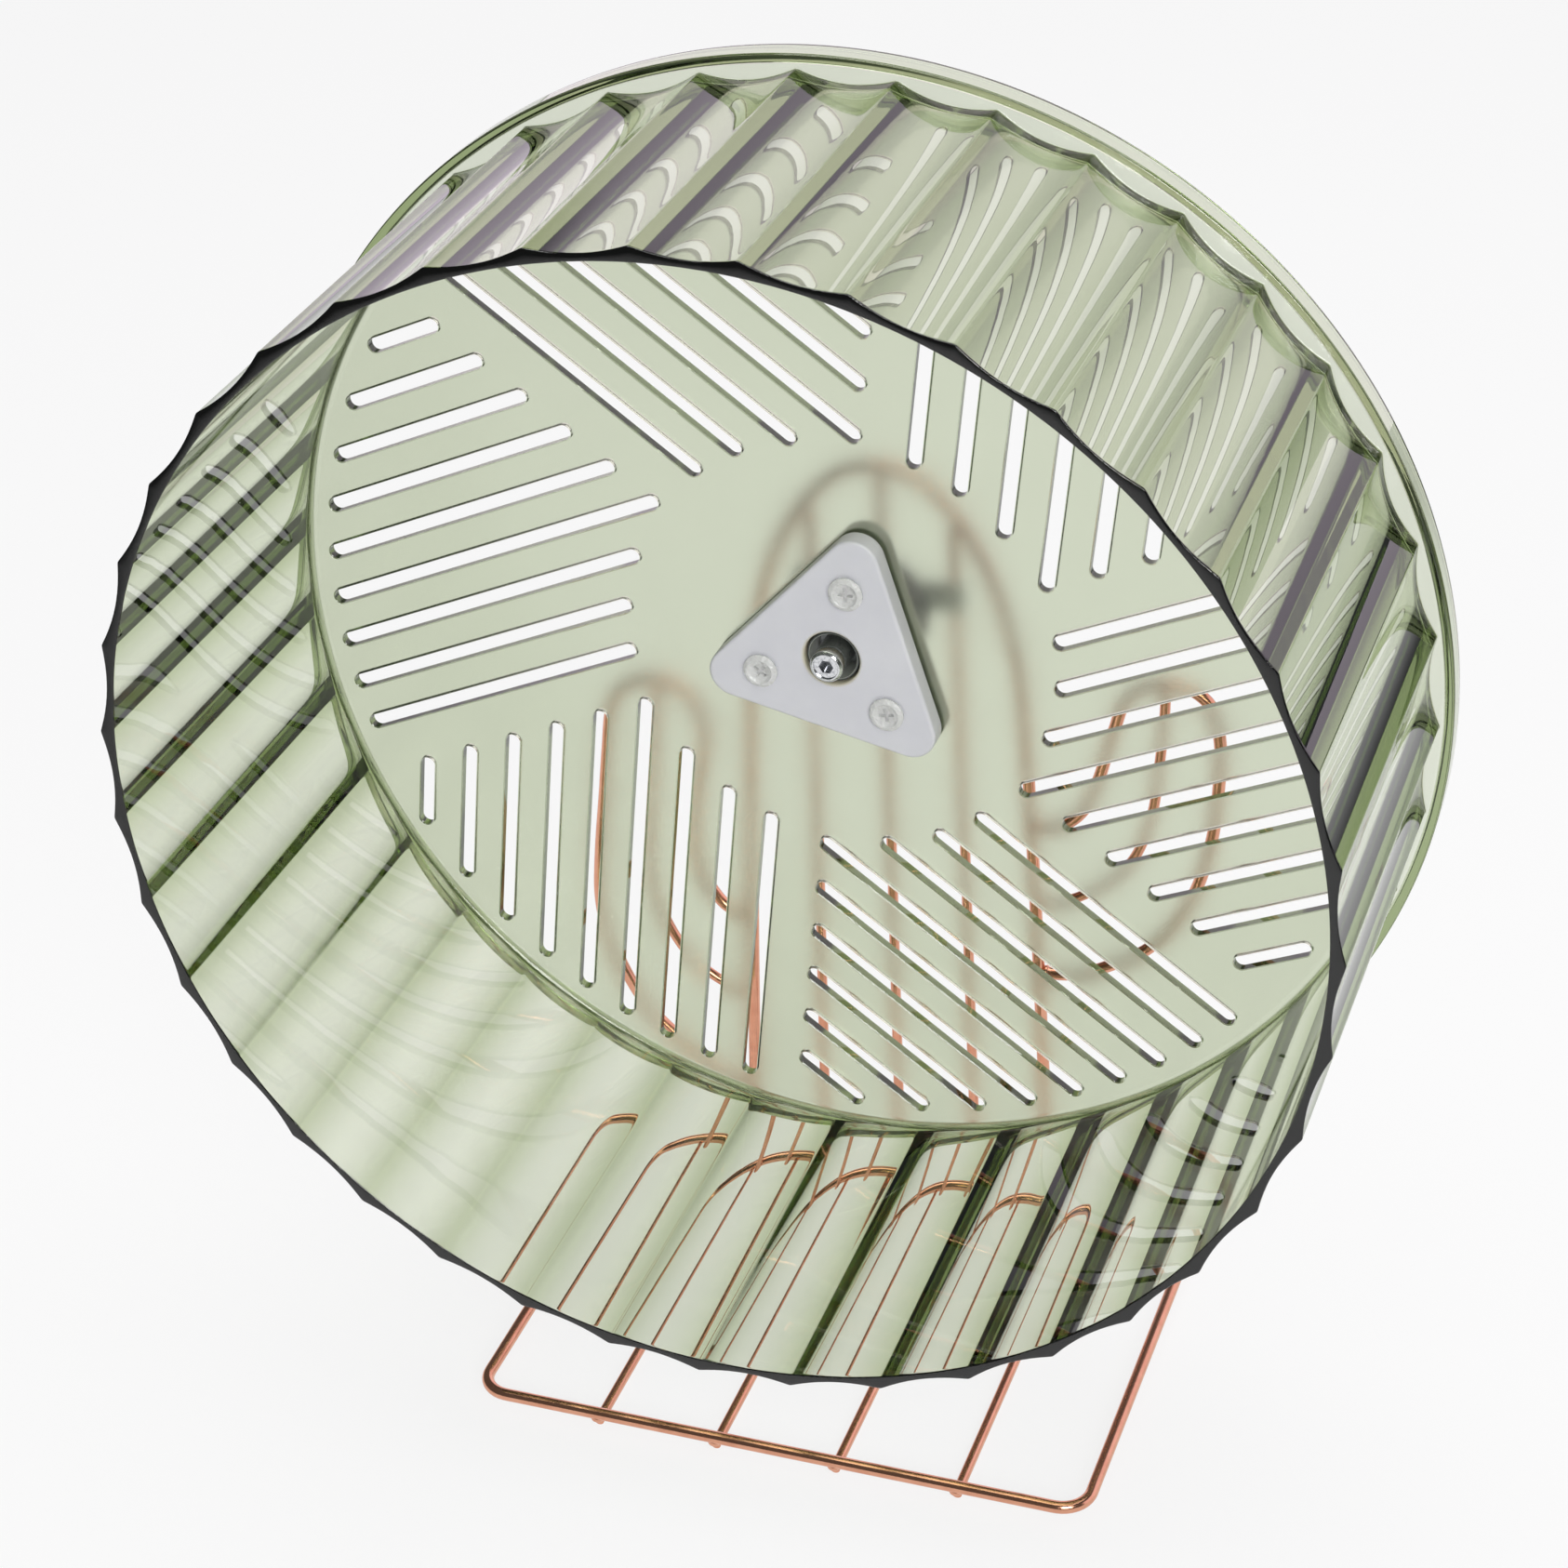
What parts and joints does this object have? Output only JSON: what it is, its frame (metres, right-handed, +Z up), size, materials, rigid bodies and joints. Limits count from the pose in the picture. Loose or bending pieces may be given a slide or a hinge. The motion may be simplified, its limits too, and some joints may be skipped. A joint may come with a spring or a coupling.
{
  "type": "hamster exercise wheel",
  "caption": "Clear green fluted running drum with a slotted back, turning on ball bearings on a steel axle held by a rose-gold wire stand.",
  "frame": {"origin": "on the surface that the stand rests on, under the middle of the object's box", "axes": "+Z up, +Y to the back along the axle, +X to the right as seen from the drum's open front"},
  "size_m": [0.274, 0.1322, 0.3195],
  "materials": {
    "rose_gold_wire": "rose-gold plated, glossy",
    "axle_steel": "polished",
    "bearing_steel": "ground",
    "clear_green_plastic": "clear, glossy, with a satin back",
    "milky_plastic": "satin",
    "clear_plastic": "clear, glossy",
    "dark_plastic": "satin"
  },
  "bodies": {
    "stand": {"base_frame": "rose_gold_wire", "base_wire_1": "rose_gold_wire", "base_wire_2": "rose_gold_wire", "base_wire_3": "rose_gold_wire", "base_wire_4": "rose_gold_wire", "body_arch": "rose_gold_wire", "body_wire_left": "rose_gold_wire", "body_wire_middle": "rose_gold_wire", "body_wire_right": "rose_gold_wire", "left_arm_wire": "rose_gold_wire", "left_arm_inner_wire": "rose_gold_wire", "right_arm_wire": "rose_gold_wire", "right_arm_inner_wire": "rose_gold_wire", "axle_bracket": "axle_steel", "axle": "axle_steel", "axle_clip": "axle_steel", "bearing_spacer": "bearing_steel", "front_inner_ring": "bearing_steel", "rear_inner_ring": "bearing_steel"},
    "wheel": {"running_drum": "clear_green_plastic", "hub_plate": "milky_plastic", "hub_screw_1": "clear_plastic", "hub_screw_2": "clear_plastic", "hub_screw_3": "clear_plastic", "bearing_housing": "dark_plastic", "front_outer_ring": "bearing_steel", "rear_outer_ring": "bearing_steel", "front_shield_1": "bearing_steel", "front_shield_2": "bearing_steel", "rear_shield_1": "bearing_steel", "rear_shield_2": "bearing_steel"},
    "front_ball_set": {"front_ball_1": "bearing_steel", "front_ball_2": "bearing_steel", "front_ball_3": "bearing_steel", "front_ball_4": "bearing_steel", "front_ball_5": "bearing_steel", "front_ball_6": "bearing_steel", "front_ball_7": "bearing_steel", "front_cage": "bearing_steel"},
    "rear_ball_set": {"rear_ball_1": "bearing_steel", "rear_ball_2": "bearing_steel", "rear_ball_3": "bearing_steel", "rear_ball_4": "bearing_steel", "rear_ball_5": "bearing_steel", "rear_ball_6": "bearing_steel", "rear_ball_7": "bearing_steel", "rear_cage": "bearing_steel"}
  },
  "joints": [
    {"name": "wheel_spin", "type": "hinge", "parent": "stand", "child": "wheel", "pos_m": [0, 0.0294, 0.18252], "axis": [0, 1, 0], "continuous": true},
    {"name": "front_ball_set_roll", "type": "hinge", "parent": "stand", "child": "front_ball_set", "pos_m": [0, 0.03608, 0.18252], "axis": [0, 1, 0], "continuous": true},
    {"name": "rear_ball_set_roll", "type": "hinge", "parent": "stand", "child": "rear_ball_set", "pos_m": [0, 0.04538, 0.18252], "axis": [0, 1, 0], "continuous": true}
  ],
  "couplings": [
    {"joint": "front_ball_set_roll", "follows": "wheel_spin", "ratio": 0.6324},
    {"joint": "rear_ball_set_roll", "follows": "wheel_spin", "ratio": 0.6324}
  ]
}
